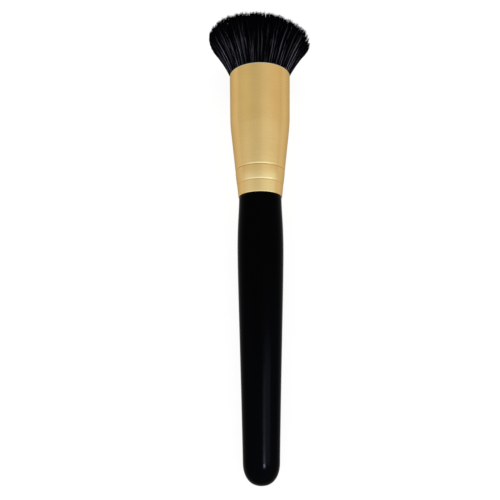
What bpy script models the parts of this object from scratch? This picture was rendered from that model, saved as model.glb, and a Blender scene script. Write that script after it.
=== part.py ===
"""Foundation brush: a lacquered handle, a gold ferrule and a flared, flat-topped tuft, lying on a table.

Every piece is modelled along the brush's own axis: local Z runs from the handle's round end to the tuft, with
height 0 at that end. One empty then lays the brush down. In the finished model +Z is up, the brush points along
+Y, and it rests at z = 0 on the round end of the handle and on the widest bristles of the tuft.
"""

import math
import random

import bmesh
import bpy
from mathutils import Matrix, Vector
from mathutils.geometry import interpolate_bezier

# Seats: the gap that two pieces keep where one sits on the other
SEAT_GAP = 0.0003

# Handle, turned from birch
HANDLE_LENGTH = 0.0964
HANDLE_END_RADIUS = 0.00605
SWELL_HEIGHT = 0.0790
SWELL_RADIUS = 0.0080
NECK_RADIUS = 0.0075

# Tenon of the handle, which the ferrule hides
TENON_LENGTH = 0.0180
TENON_CHAMFER = 0.0008
TENON_GROOVE_COUNT = 3
TENON_GROOVE_DEPTH = 0.0004
TENON_GROOVE_HALF_WIDTH = 0.0010

# Ferrule, a spun tube of anodised aluminium. Its cone and its barrel would meet in the knee if it were sharp.
FERRULE_LENGTH = 0.0465
FERRULE_WALL = 0.0004
FERRULE_FOOT_RADIUS = 0.0078
KNEE_HEIGHT = 0.0275
KNEE_RADIUS = 0.01076
KNEE_ROUNDING = 0.00030
FERRULE_MOUTH_RADIUS = 0.01106
LIP_ROUNDING = 0.00012

# Crimps, two rings rolled into the ferrule round the tenon
LOWER_CRIMP_HEIGHT = 0.0048
CRIMP_SPACING = 0.0048
CRIMP_COUNT = 2
CRIMP_DEPTH = 0.00020
CRIMP_HALF_WIDTH = 0.00050

# Glue collar, the epoxy in the wedge between the tenon and the ferrule's taper
COLLAR_LEAST_WALL = 0.0005

# Root plug, the resin that sets the roots of the bristles: what stands under and over its thread groove
PLUG_STANDOFF = 0.0025
PLUG_BASE_LENGTH = 0.0015
PLUG_CAP_LENGTH = 0.0031
PLUG_CHAMFER = 0.0005

# Binding thread, wound round the bundle before the resin is poured
THREAD_RADIUS = 0.00025
THREAD_TURN_GAP = 0.00045
THREAD_TURNS = 4

# Tuft of synthetic bristles, its strands in rings of 6, 12, 18 and so on round a middle one
TUFT_HEIGHT = 0.0163
TUFT_EDGE_HEIGHT = 0.0138
TUFT_RADIUS = 0.0185
TUFT_CROWN_POWER = 5
STRAND_RINGS = 10
STRAND_GAP = 0.00012
STRAND_BOW = 0.0009
STRAND_POINT_LENGTH = 0.0018
STRAND_LENGTH_SCATTER = 0.0006
STRAND_TIP_SCATTER = 0.00012

# Facets and curve steps, which are counts and not sizes
ROUND_STEPS = 48
HIDDEN_STEPS = 24
END_ARC_STEPS = 9
TAPER_STEPS = 12
NECK_STEPS = 6
KNEE_STEPS = 6
DIP_STEPS = 4
THREAD_TURN_STEPS = 24
STRAND_SIDES = 3
SHARP_ANGLE = math.radians(32)
LIP_ANGLE = math.radians(60)

# Shares of a curve's span and rise at which its Bezier handles stand, chosen by eye against the photograph
TAPER_END_SHARES = (0.45, 0.39)
TAPER_SWELL_SHARE = 0.15
NECK_SWELL_SHARE = 0.50
NECK_TOP_SHARE = 0.30


# Grooves, and places worked out from the sizes. A height here is above the ferrule's foot.
def dip(height, centres, half_width, depth):
    """How far rolled or turned grooves draw a surface in at a height: a cosine dip round each centre."""
    reach = min(abs(height - centre) for centre in centres) / half_width
    return depth * (1 + math.cos(math.pi * reach)) / 2 if reach < 1 else 0.0


def dip_heights(centres, half_width):
    """The heights at which a profile samples its dips."""
    steps = [2 * step / DIP_STEPS - 1 for step in range(DIP_STEPS + 1)]
    return [centre + half_width * step for centre in centres for step in steps]


def crimp_centres():
    return [LOWER_CRIMP_HEIGHT + index * CRIMP_SPACING for index in range(CRIMP_COUNT)]


def cone_slope():
    return (KNEE_RADIUS - FERRULE_FOOT_RADIUS) / KNEE_HEIGHT


def barrel_slope():
    return (FERRULE_MOUTH_RADIUS - KNEE_RADIUS) / (FERRULE_LENGTH - KNEE_HEIGHT)


def knee_heights():
    """The heights at which a profile samples the ferrule's rounded knee."""
    reach = KNEE_ROUNDING / (cone_slope() - barrel_slope())
    return [KNEE_HEIGHT + reach * (2 * step / KNEE_STEPS - 1) for step in range(KNEE_STEPS + 1)]


def ferrule_outside(height):
    """The ferrule's outer radius: the smaller of cone and barrel, blended at the knee, less the crimps."""
    cone = KNEE_RADIUS + (height - KNEE_HEIGHT) * cone_slope()
    barrel = KNEE_RADIUS + (height - KNEE_HEIGHT) * barrel_slope()
    blend = max(KNEE_ROUNDING - abs(cone - barrel), 0.0) / KNEE_ROUNDING
    smooth = min(cone, barrel) - blend * blend * KNEE_ROUNDING / 4
    return smooth - dip(height, crimp_centres(), CRIMP_HALF_WIDTH, CRIMP_DEPTH)


def ferrule_seat(height):
    """The outer radius of a piece that seats inside the ferrule."""
    return ferrule_outside(height) - FERRULE_WALL - SEAT_GAP


TENON_RADIUS = ferrule_seat(0)
TENON_SIDE_TOP = TENON_LENGTH - TENON_CHAMFER
COLLAR_FOOT_HEIGHT = (COLLAR_LEAST_WALL + SEAT_GAP) / cone_slope()
PLUG_FOOT_HEIGHT = TENON_LENGTH + PLUG_STANDOFF
THREAD_PITCH = 2 * THREAD_RADIUS + THREAD_TURN_GAP
GROOVE_FOOT_HEIGHT = PLUG_FOOT_HEIGHT + PLUG_BASE_LENGTH
GROOVE_TOP_HEIGHT = GROOVE_FOOT_HEIGHT + THREAD_TURNS * THREAD_PITCH + 2 * (THREAD_RADIUS + SEAT_GAP)
GROOVE_FLOOR_RADIUS = ferrule_seat(GROOVE_FOOT_HEIGHT) - 2 * THREAD_RADIUS - SEAT_GAP
PLUG_TOP_HEIGHT = GROOVE_TOP_HEIGHT + PLUG_CAP_LENGTH
BUNDLE_FOOT_HEIGHT = PLUG_TOP_HEIGHT + SEAT_GAP
BUNDLE_RADIUS = ferrule_seat(FERRULE_LENGTH)
ROOT_SPACING = BUNDLE_RADIUS / (STRAND_RINGS + 0.5)
ROOT_RADIUS = (ROOT_SPACING - STRAND_GAP) / 2
TIP_SPACING = TUFT_RADIUS / STRAND_RINGS
TIP_RADIUS = (TIP_SPACING - STRAND_GAP) / 2 - STRAND_TIP_SCATTER
OVERALL_LENGTH = HANDLE_LENGTH + FERRULE_LENGTH + TUFT_HEIGHT


def groove_centres():
    """The tenon's glue grooves, spread evenly along what the collar covers."""
    pitch = (TENON_SIDE_TOP - COLLAR_FOOT_HEIGHT) / TENON_GROOVE_COUNT
    return [COLLAR_FOOT_HEIGHT + pitch * (index + 0.5) for index in range(TENON_GROOVE_COUNT)]


def tenon_outside(height):
    return TENON_RADIUS - dip(height, groove_centres(), TENON_GROOVE_HALF_WIDTH, TENON_GROOVE_DEPTH)


# Shared helpers
def make_material(name, colour, roughness, metallic=0.0):
    """A Principled material in one colour, which is given in linear RGB."""
    material = bpy.data.materials.new(name)
    material.use_nodes = True
    shader = material.node_tree.nodes["Principled BSDF"]
    shader.inputs["Base Color"].default_value = (*colour, 1.0)
    shader.inputs["Roughness"].default_value = roughness
    shader.inputs["Metallic"].default_value = metallic
    return material


def on_axis(radius, height):
    """A point of a turned profile, which lies in the XZ plane. Its height is above the ferrule's foot."""
    return Vector((radius, 0.0, HANDLE_LENGTH + height))


def side_profile(radius_at, top, foot, heights):
    """A turned side from top down to foot, sampled at both ends and at each of the heights between them."""
    between = sorted((height for height in heights if foot < height < top), reverse=True)
    return [on_axis(radius_at(height), height) for height in (top, *between, foot)]


def add_object(name, data, material, axis):
    """Links a new object to the brush's collection, on the brush's axis."""
    piece = bpy.data.objects.new(name, data)
    piece.parent = axis
    data.materials.append(material)
    bpy.data.collections["foundation_brush"].objects.link(piece)
    return piece


def turned_profile(name, points, steps, material, axis, closed=False):
    """A profile with a Screw modifier. It runs down its outer side, so that the turned faces point outwards."""
    mesh = bpy.data.meshes.new(name)
    edges = [(i, i + 1) for i in range(len(points) - 1)]
    if closed:
        edges.append((len(points) - 1, 0))
    mesh.from_pydata(points, edges, [])
    piece = add_object(name, mesh, material, axis)
    screw = piece.modifiers.new("Turn", "SCREW")
    screw.axis = "Z"
    screw.steps = steps
    screw.render_steps = steps
    screw.use_merge_vertices = True
    screw.merge_threshold = 0.000001
    return piece


def apply_modifiers(piece):
    """Replaces the mesh by what its modifiers make, smooth but for its sharp edges."""
    graph = bpy.context.evaluated_depsgraph_get()
    mesh = bpy.data.meshes.new_from_object(piece.evaluated_get(graph))
    piece.modifiers.clear()
    piece.data = mesh
    mesh.name = piece.name
    mesh.shade_smooth()
    mesh.set_sharp_from_angle(angle=SHARP_ANGLE)
    return piece


# Handle
def handle_neck():
    """The curve from the foot of the ferrule down to the swell."""
    top, swell = on_axis(NECK_RADIUS, -SEAT_GAP), Vector((SWELL_RADIUS, 0.0, SWELL_HEIGHT))
    span = top.z - swell.z
    top_handle = top - Vector((0.0, 0.0, span * NECK_TOP_SHARE))
    swell_handle = swell + Vector((0.0, 0.0, span * NECK_SWELL_SHARE))
    return interpolate_bezier(top, top_handle, swell_handle, swell, NECK_STEPS + 1)


def handle_taper():
    """The long curve from the swell down to the round end."""
    swell = Vector((SWELL_RADIUS, 0.0, SWELL_HEIGHT))
    end = Vector((HANDLE_END_RADIUS, 0.0, HANDLE_END_RADIUS))
    span, rise = swell.z - end.z, swell.x - end.x
    swell_handle = swell - Vector((0.0, 0.0, span * TAPER_SWELL_SHARE))
    end_handle = end + Vector((rise * TAPER_END_SHARES[1], 0.0, span * TAPER_END_SHARES[0]))
    return interpolate_bezier(swell, swell_handle, end_handle, end, TAPER_STEPS + 1)


def handle_end():
    """The quarter circle of the round end, down to the axis."""
    angles = [math.pi / 2 * step / END_ARC_STEPS for step in range(END_ARC_STEPS)]
    points = [Vector((math.cos(angle), 0.0, 1 - math.sin(angle))) * HANDLE_END_RADIUS for angle in angles]
    return points + [Vector((0.0, 0.0, 0.0))]


def build_handle(axis):
    """One turned piece of wood: the grooved tenon, the neck, the swell, the taper and the round end."""
    lacquer = make_material("black_lacquer", (0.006, 0.006, 0.008), 0.28)
    points = [on_axis(0.0, TENON_LENGTH), on_axis(TENON_RADIUS - TENON_CHAMFER, TENON_LENGTH)]
    groove_heights = dip_heights(groove_centres(), TENON_GROOVE_HALF_WIDTH)
    points += side_profile(tenon_outside, TENON_SIDE_TOP, -SEAT_GAP, groove_heights)
    points += handle_neck()[:-1] + handle_taper()[:-1] + handle_end()
    return apply_modifiers(turned_profile("handle", points, ROUND_STEPS, lacquer, axis))


# Ferrule
def build_ferrule(axis):
    """A thin shell of one wall thickness, with two crimps and rounded lips."""
    gold = make_material("gold_anodised_aluminium", (0.60, 0.41, 0.15), 0.34, 1.0)
    heights = knee_heights() + dip_heights(crimp_centres(), CRIMP_HALF_WIDTH)
    points = side_profile(ferrule_outside, FERRULE_LENGTH, 0.0, heights)
    piece = turned_profile("ferrule", points, ROUND_STEPS, gold, axis)
    wall = piece.modifiers.new("Wall", "SOLIDIFY")
    wall.thickness = FERRULE_WALL
    wall.offset = -1
    wall.use_even_offset = True
    lips = piece.modifiers.new("Lips", "BEVEL")
    lips.width = LIP_ROUNDING
    lips.segments = 1
    lips.limit_method = "ANGLE"
    lips.angle_limit = LIP_ANGLE
    return apply_modifiers(piece)


# Glue collar
def build_glue_collar(axis):
    """Cured epoxy round the tenon. The crimps key into it from outside, and it fills the tenon's grooves."""
    epoxy = make_material("handle_epoxy", (0.62, 0.52, 0.30), 0.25)
    crimp_heights = dip_heights(crimp_centres(), CRIMP_HALF_WIDTH)
    groove_heights = dip_heights(groove_centres(), TENON_GROOVE_HALF_WIDTH)
    outside = side_profile(ferrule_seat, TENON_SIDE_TOP, COLLAR_FOOT_HEIGHT, crimp_heights)
    inside = side_profile(tenon_outside, TENON_SIDE_TOP, COLLAR_FOOT_HEIGHT, groove_heights)
    for point in inside:
        point.x += SEAT_GAP
    ring = outside + inside[::-1]
    return apply_modifiers(turned_profile("glue_collar", ring, HIDDEN_STEPS, epoxy, axis, closed=True))


# Root plug
def build_root_plug(axis):
    """The resin disc at the root of the tuft, with a groove where the binding thread lies."""
    resin = make_material("root_resin", (0.05, 0.04, 0.03), 0.22)
    points = [on_axis(0.0, PLUG_TOP_HEIGHT)]
    points += side_profile(ferrule_seat, PLUG_TOP_HEIGHT, GROOVE_TOP_HEIGHT, knee_heights())
    points.append(on_axis(GROOVE_FLOOR_RADIUS, GROOVE_TOP_HEIGHT))
    points.append(on_axis(GROOVE_FLOOR_RADIUS, GROOVE_FOOT_HEIGHT))
    points += side_profile(ferrule_seat, GROOVE_FOOT_HEIGHT, PLUG_FOOT_HEIGHT + PLUG_CHAMFER, knee_heights())
    points.append(on_axis(ferrule_seat(PLUG_FOOT_HEIGHT) - PLUG_CHAMFER, PLUG_FOOT_HEIGHT))
    points.append(on_axis(0.0, PLUG_FOOT_HEIGHT))
    return apply_modifiers(turned_profile("root_plug", points, HIDDEN_STEPS, resin, axis))


# Binding thread
def build_binding_thread(axis):
    """A waxed thread that winds round the bundle in one unbroken helix. It prints its least gap to itself."""
    cotton = make_material("waxed_cotton", (0.55, 0.50, 0.40), 0.8)
    radius = GROOVE_FLOOR_RADIUS + SEAT_GAP + THREAD_RADIUS
    start = on_axis(0.0, GROOVE_FOOT_HEIGHT + SEAT_GAP + THREAD_RADIUS)
    points = []
    for step in range(THREAD_TURNS * THREAD_TURN_STEPS + 1):
        turn = step / THREAD_TURN_STEPS
        angle = 2 * math.pi * turn
        points.append(start + Vector((radius * math.cos(angle), radius * math.sin(angle), THREAD_PITCH * turn)))
    least = min(
        (later - earlier).length
        for index, earlier in enumerate(points)
        for later in points[index + THREAD_TURN_STEPS // 2 :]
    )
    print(f"binding thread: least gap to itself {(least - 2 * THREAD_RADIUS) * 1000:.2f} mm")
    curve = bpy.data.curves.new("binding_thread", "CURVE")
    curve.dimensions = "3D"
    curve.bevel_depth = THREAD_RADIUS
    curve.bevel_resolution = 1
    curve.use_fill_caps = True
    spline = curve.splines.new("POLY")
    spline.points.add(len(points) - 1)
    for place, point in zip(spline.points, points):
        place.co = (*point, 1.0)
    return add_object("binding_thread", curve, cotton, axis)


# Tuft
def crown_height(radius):
    """The height of the tuft's top above the ferrule's mouth, flat in the middle and rounded to its edge."""
    share = min(1.0, radius / TUFT_RADIUS)
    return TUFT_HEIGHT - (TUFT_HEIGHT - TUFT_EDGE_HEIGHT) * share**TUFT_CROWN_POWER


def strand_stations():
    """For each strand the centre, direction and radius of its section at the root, middle, shoulder and tip."""
    chance = random.Random(7)
    strands = []
    for ring in range(STRAND_RINGS + 1):
        count = max(1, 6 * ring)
        for index in range(count):
            angle = 2 * math.pi * (index + 0.5 * (ring % 2)) / count
            out = Vector((math.cos(angle), math.sin(angle), 0.0))
            scatter = Vector((chance.uniform(-1, 1), chance.uniform(-1, 1), 0.0)) * STRAND_TIP_SCATTER
            reach, fall = ring * TIP_SPACING, chance.uniform(0, STRAND_LENGTH_SCATTER)
            root = out * ring * ROOT_SPACING + on_axis(0.0, FERRULE_LENGTH)
            tip = out * reach + scatter + on_axis(0.0, FERRULE_LENGTH + crown_height(reach) - fall)
            middle = (root + tip) / 2 - out * STRAND_BOW * ring / STRAND_RINGS
            along = (tip - middle).normalized()
            strands.append((
                (root, Vector((0.0, 0.0, 1.0)), ROOT_RADIUS),
                (middle, (tip - root).normalized(), (ROOT_RADIUS + TIP_RADIUS) / 2),
                (tip - along * STRAND_POINT_LENGTH, along, TIP_RADIUS),
                (tip, along, 0.0),
            ))
    return strands


def add_bundle(bm, strands, strand_layer):
    """The packed bundle inside the ferrule. Its top carries one socket, a small face, for each strand."""
    for index, (root, *_) in enumerate(strands):
        place = Matrix.Translation(root[0]) @ Matrix.Rotation(index * SHARP_ANGLE, 4, "Z")
        made = bmesh.ops.create_circle(bm, cap_ends=True, segments=STRAND_SIDES, radius=ROOT_RADIUS, matrix=place)
        made["verts"][0].link_faces[0][strand_layer] = index
    sockets = bm.faces[:]
    top = Matrix.Translation(on_axis(0.0, FERRULE_LENGTH))
    rim = bmesh.ops.create_circle(bm, segments=ROUND_STEPS, radius=BUNDLE_RADIUS, matrix=top)["verts"]
    rim_edges = list({edge for vert in rim for edge in vert.link_edges})
    bmesh.ops.triangle_fill(bm, use_beauty=True, edges=bm.edges[:], normal=(0, 0, 1))
    wall = bmesh.ops.extrude_edge_only(bm, edges=rim_edges)["geom"]
    foot = [item for item in wall if isinstance(item, bmesh.types.BMVert)]
    squeeze = ferrule_seat(BUNDLE_FOOT_HEIGHT) / BUNDLE_RADIUS
    bmesh.ops.scale(bm, vec=(squeeze, squeeze, 1.0), verts=foot)
    bmesh.ops.translate(bm, vec=(0.0, 0.0, BUNDLE_FOOT_HEIGHT - FERRULE_LENGTH), verts=foot)
    bmesh.ops.contextual_create(bm, geom=foot)
    return sockets


def grow_strands(bm, strands, sockets, strand_layer):
    """Extrudes each socket from station to station and draws the last stretch to a point."""
    for level in range(1, 4):
        sockets = bmesh.ops.extrude_discrete_faces(bm, faces=sockets)["faces"]
        for face in sockets:
            old_centre, old_along, old_radius = strands[face[strand_layer]][level - 1]
            centre, along, radius = strands[face[strand_layer]][level]
            turn = old_along.rotation_difference(along)
            for vert in face.verts:
                vert.co = centre + turn @ (vert.co - old_centre) * (radius / old_radius)
    tips = {vert for face in sockets for vert in face.verts}
    bmesh.ops.remove_doubles(bm, verts=list(tips), dist=STRAND_GAP / 100)


def build_tuft(axis):
    """The bristles, fused to the packed bundle that stands on the root plug."""
    filament = make_material("black_filament", (0.004, 0.004, 0.006), 0.42)
    strands = strand_stations()
    bm = bmesh.new()
    strand_layer = bm.faces.layers.int.new("strand")
    sockets = add_bundle(bm, strands, strand_layer)
    grow_strands(bm, strands, sockets, strand_layer)
    bmesh.ops.recalc_face_normals(bm, faces=bm.faces[:])
    mesh = bpy.data.meshes.new("bristle_tuft")
    bm.to_mesh(mesh)
    bm.free()
    mesh.shade_smooth()
    mesh.set_sharp_from_angle(angle=SHARP_ANGLE)
    print(f"bristle tuft: {len(strands)} strands")
    return add_object("bristle_tuft", mesh, filament, axis)


# Rest on the table
def rest_tilt():
    """The angle at which the brush leans down from its tuft to its handle when it lies on a table."""
    along = HANDLE_LENGTH + FERRULE_LENGTH + TUFT_EDGE_HEIGHT - HANDLE_END_RADIUS
    return math.atan2(TUFT_RADIUS, along) - math.asin(HANDLE_END_RADIUS / math.hypot(along, TUFT_RADIUS))


def build_axis():
    """An empty whose Z is the brush's axis. The brush's middle lies over the frame's origin."""
    axis = bpy.data.objects.new("brush_axis", None)
    bpy.data.collections["foundation_brush"].objects.link(axis)
    tilt = rest_tilt()
    middle = OVERALL_LENGTH / 2 * math.cos(tilt)
    axis.location = (0.0, -middle, HANDLE_END_RADIUS * (1 - math.sin(tilt)))
    axis.rotation_euler = (tilt - math.pi / 2, 0.0, 0.0)
    return axis


def main():
    for old in list(bpy.data.objects):
        bpy.data.objects.remove(old)
    bpy.context.scene.collection.children.link(bpy.data.collections.new("foundation_brush"))
    axis = build_axis()
    build_handle(axis)
    build_ferrule(axis)
    build_glue_collar(axis)
    build_root_plug(axis)
    build_binding_thread(axis)
    build_tuft(axis)


main()
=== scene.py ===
# %% [markdown]
# # A flat-topped foundation brush
#
# The brush is three visible things: a turned wooden handle under black lacquer, a spun aluminium
# ferrule anodised pale gold, and a tuft of some twenty-five thousand black bristles. It lies on a
# white table and is seen from almost straight above.
#
# The CAD model already holds each of them as a solid, in metres, where the real one would be. This
# notebook keeps those places and sizes. It turns finer copies of the handle and the ferrule, grows
# the tuft bristle by bristle, and gives every piece the finish of what it is made of.

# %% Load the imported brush
import math

import bmesh
import bpy
import numpy as np
from mathutils import Matrix, Vector, kdtree
from mathutils.geometry import interpolate_bezier


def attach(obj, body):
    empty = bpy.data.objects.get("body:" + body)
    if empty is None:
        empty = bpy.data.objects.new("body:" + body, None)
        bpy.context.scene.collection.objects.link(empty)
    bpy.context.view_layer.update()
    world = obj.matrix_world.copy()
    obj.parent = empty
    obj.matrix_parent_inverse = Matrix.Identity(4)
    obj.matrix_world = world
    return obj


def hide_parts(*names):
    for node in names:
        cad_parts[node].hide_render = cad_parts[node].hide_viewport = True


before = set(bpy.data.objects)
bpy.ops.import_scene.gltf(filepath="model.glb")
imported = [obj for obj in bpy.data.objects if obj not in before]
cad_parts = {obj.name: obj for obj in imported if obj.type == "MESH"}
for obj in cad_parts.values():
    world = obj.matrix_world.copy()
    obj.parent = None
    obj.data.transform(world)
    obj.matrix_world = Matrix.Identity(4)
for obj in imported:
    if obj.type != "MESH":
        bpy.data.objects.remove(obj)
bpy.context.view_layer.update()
print("CAD nodes:", ", ".join(sorted(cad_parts)))

# %% [markdown]
# ## The brush's own axis
#
# A brush is a turned thing, so every piece is easiest to describe by a radius and a height along
# its axis. Height 0 is the round end of the handle. Lying on a table, the brush rests on that end
# and on its widest bristles, so its axis leans up by almost five degrees towards the tuft. One
# matrix holds that lean, and every piece is laid down with it once its shape is finished.

# %% Sizes of the brush, in metres, and the matrix that lays it down
HANDLE_LENGTH = 0.0964
HANDLE_END_RADIUS = 0.00605
FERRULE_LENGTH = 0.0465
TUFT_HEIGHT = 0.0163
TUFT_EDGE_HEIGHT = 0.0138
TUFT_RADIUS = 0.0185
SEAT_GAP = 0.0003
MM = 0.001

reach_to_edge = HANDLE_LENGTH + FERRULE_LENGTH + TUFT_EDGE_HEIGHT - HANDLE_END_RADIUS
slant = math.hypot(reach_to_edge, TUFT_RADIUS)
tilt = math.atan2(TUFT_RADIUS, reach_to_edge) - math.asin(HANDLE_END_RADIUS / slant)
half_length = (HANDLE_LENGTH + FERRULE_LENGTH + TUFT_HEIGHT) / 2
BRUSH_PLACE = Vector((0.0, -half_length * math.cos(tilt), HANDLE_END_RADIUS * (1 - math.sin(tilt))))
BRUSH_TURN = tilt - math.pi / 2
BRUSH = Matrix.Translation(BRUSH_PLACE) @ Matrix.Rotation(BRUSH_TURN, 4, "X")
mouth_height = HANDLE_LENGTH + FERRULE_LENGTH
print(f"the brush's axis rises by {math.degrees(tilt):.2f} degrees")

# %% [markdown]
# ## The camera
#
# The ellipses of the ferrule's rim and foot give the photograph's viewpoint: 225 mm from the brush,
# leaning nearly 13 degrees towards the handle, through a lens of 47 mm on a 36 mm sensor. The camera
# is described beside the upright brush and then laid down with it. It hardly rolls.

# %% Camera
LENS = 46.8
SENSOR_WIDTH = 36.0
CAMERA_LEAN = math.radians(12.73)
CAMERA_DISTANCE = 0.2253
CAMERA_SIDE_STEP = -0.00364
CAMERA_ROLL = math.radians(-0.04)
AIM_HEIGHT = 0.0775

view_direction = Vector((0.0, math.cos(CAMERA_LEAN), math.sin(CAMERA_LEAN)))
image_right = Vector((1.0, 0.0, 0.0))
image_up = image_right.cross(view_direction)
camera_stand = Matrix((image_right, image_up, -view_direction)).transposed().to_4x4()
camera_stand.translation = Vector((CAMERA_SIDE_STEP, 0.0, AIM_HEIGHT)) - view_direction * CAMERA_DISTANCE

camera_data = bpy.data.cameras.new("photo_camera")
camera_data.lens = LENS
camera_data.sensor_width = SENSOR_WIDTH
camera_data.clip_start = 0.01
camera = bpy.data.objects.new("photo_camera", camera_data)
camera.matrix_world = BRUSH @ camera_stand @ Matrix.Rotation(CAMERA_ROLL, 4, "Z")
bpy.context.scene.collection.objects.link(camera)
bpy.context.scene.camera = camera
bpy.context.scene.view_settings.view_transform = "Standard"
print("camera at", [round(part, 4) for part in camera.matrix_world.translation])

# %% [markdown]
# ## Two helpers for materials
#
# Colours are written as they look on a screen, in sRGB hex. Blender mixes light in linear values, so
# one function converts them. Another adds a node, sets it and links it in a single call, which keeps
# each material short enough to read like a recipe.


# %% Colour and node helpers
def linear_colour(hex_code):
    """An sRGB hex code such as "#CBAA6E" as linear red, green, blue and alpha."""
    channels = [int(hex_code[place : place + 2], 16) / 255 for place in (1, 3, 5)]
    channels = [c / 12.92 if c <= 0.04045 else ((c + 0.055) / 1.055) ** 2.4 for c in channels]
    return (*channels, 1.0)


def add_node(tree, kind, settings=None, links=None):
    """Adds a node. Settings are its properties or the values of sockets, and links feed sockets."""
    node = tree.nodes.new(kind)
    for name, value in (settings or {}).items():
        if isinstance(name, str) and hasattr(node, name):
            setattr(node, name, value)
        else:
            node.inputs[name].default_value = value
    for name, source in (links or {}).items():
        tree.links.new(source, node.inputs[name])
    return node


def start_material(name, **sockets):
    """A Principled material with some sockets set. Returns the material, its tree and its shader."""
    material = bpy.data.materials.new(name)
    material.use_nodes = True
    shader = material.node_tree.nodes["Principled BSDF"]
    for socket, value in sockets.items():
        shader.inputs[socket.replace("_", " ")].default_value = value
    return material, material.node_tree, shader


def add_brush_coordinates(tree, stretch=(1.0, 1.0, 1.0)):
    """Object coordinates turned so that Z runs along the brush. A pattern is drawn out by each stretch."""
    place = add_node(tree, "ShaderNodeTexCoord")
    settings = {
        "vector_type": "TEXTURE",
        "Location": BRUSH_PLACE,
        "Rotation": (BRUSH_TURN, 0.0, 0.0),
        "Scale": stretch,
    }
    return add_node(tree, "ShaderNodeMapping", settings, {"Vector": place.outputs["Object"]}).outputs[0]


# %% [markdown]
# ## Turning a profile
#
# The handle came off a lathe and the ferrule was spun from tube, so both are made the same way here:
# a profile of radius and height, spun once round the axis. The spin merges its last step into the
# first, doubles at the poles are merged, and then the normals are made to point outwards.


# %% Helper for turned pieces
ROUND_STEPS = 128
MERGE_DISTANCE = 0.000001


def turn_profile(name, profile, material, closed=False):
    """Spins a profile of (radius, height) points round the brush's axis and lays the result down."""
    bm = bmesh.new()
    points = [bm.verts.new((radius, 0.0, height)) for radius, height in profile]
    pairs = list(zip(points, points[1:]))
    if closed:
        pairs.append((points[-1], points[0]))
    edges = [bm.edges.new(pair) for pair in pairs]
    geometry = points + edges
    bmesh.ops.spin(
        bm, geom=geometry, axis=(0, 0, 1), angle=math.tau, steps=ROUND_STEPS, use_merge=True
    )
    bmesh.ops.remove_doubles(bm, verts=bm.verts[:], dist=MERGE_DISTANCE)
    bmesh.ops.recalc_face_normals(bm, faces=bm.faces[:])
    bm.transform(BRUSH)
    mesh = bpy.data.meshes.new(name)
    bm.to_mesh(mesh)
    bm.free()
    mesh.shade_smooth()
    mesh.materials.append(material)
    piece = bpy.data.objects.new(name, mesh)
    bpy.context.scene.collection.objects.link(piece)
    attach(piece, "root")
    print(f"{name}: {len(mesh.polygons)} faces")
    return piece


def cosine_dip(height, centre, half_width, depth):
    """How far a rolled groove draws a surface in at a height."""
    reach = abs(height - centre) / half_width
    return depth * (1 + math.cos(math.pi * reach)) / 2 if reach < 1 else 0.0


# %% [markdown]
# ## Black lacquer
#
# The handle is birch under several sprayed coats of satin black lacquer. Sprayed lacquer is never
# quite flat: it dries to a faint orange peel about a millimetre across, and handling leaves duller
# patches five or six millimetres wide. Both only show where the surface mirrors a lamp, so they go
# to roughness and bump, and the colour stays almost black. The photographed handle mirrors hardly
# anything but a few lamps, so the specular level is far below that of real lacquer, and the lamps
# that show on it are strong.


# %% Lacquer
HANDLING_PER_METRE = 180.0
PEEL_PER_METRE = 900.0


def make_lacquer():
    material, tree, shader = start_material(
        "satin_black_lacquer", Base_Color=linear_colour("#010101"), Specular_IOR_Level=0.008
    )
    along_brush = add_brush_coordinates(tree)
    handling = add_node(
        tree,
        "ShaderNodeTexNoise",
        {"Scale": HANDLING_PER_METRE, "Detail": 3.0, "Roughness": 0.6},
        {"Vector": along_brush},
    )
    dullness = add_node(
        tree,
        "ShaderNodeMapRange",
        {"From Min": 0.3, "From Max": 0.7, "To Min": 0.13, "To Max": 0.17},
        {"Value": handling.outputs["Fac"]},
    )
    tree.links.new(dullness.outputs["Result"], shader.inputs["Roughness"])
    orange_peel = add_node(
        tree, "ShaderNodeTexNoise", {"Scale": PEEL_PER_METRE, "Detail": 1.0}, {"Vector": along_brush}
    )
    relief = add_node(
        tree,
        "ShaderNodeBump",
        {"Strength": 0.10, "Distance": 0.00004},
        {"Height": orange_peel.outputs["Fac"]},
    )
    tree.links.new(relief.outputs["Normal"], shader.inputs["Normal"])
    return material


lacquer = make_lacquer()
print("material:", lacquer.name)

# %% [markdown]
# ## The handle
#
# Two Bezier curves and a superellipse make the visible profile. The neck narrows up into the
# ferrule, and the long taper runs down from the swell. The round end is drawn out a little further
# than half a ball and is a little fuller than an ellipse, which a superellipse gives with one
# number. Above the neck comes the tenon, which the ferrule hides, with three glue grooves in it.

# %% Handle
SWELL_HEIGHT = 0.0790
SWELL_RADIUS = 0.0080
NECK_RADIUS = 0.0075
TENON_LENGTH = 0.0180
TENON_RADIUS = 0.0071
TENON_CHAMFER = 0.0008
ROUND_END_LENGTH = 0.0077
END_FULLNESS = 2.3
GROOVE_HEIGHTS = (0.0088, 0.0122, 0.0155)
GROOVE_HALF_WIDTH = 0.0010
GROOVE_DEPTH = 0.0004
NECK_TOP_SHARE, NECK_SWELL_SHARE = 0.30, 0.50
TAPER_SWELL_SHARE, TAPER_END_SHARE, TAPER_RISE_SHARE = 0.15, 0.45, 0.39
TENON_POINTS, NECK_STEPS, TAPER_STEPS, END_POINTS = 60, 18, 48, 19


def curve_profile(start, start_handle, end_handle, end, steps):
    """Points of a Bezier curve whose corners are given as (radius, height)."""
    corners = [Vector((radius, 0.0, height)) for radius, height in (start, start_handle, end_handle, end)]
    return [(point.x, point.z) for point in interpolate_bezier(*corners, steps + 1)]


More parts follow.
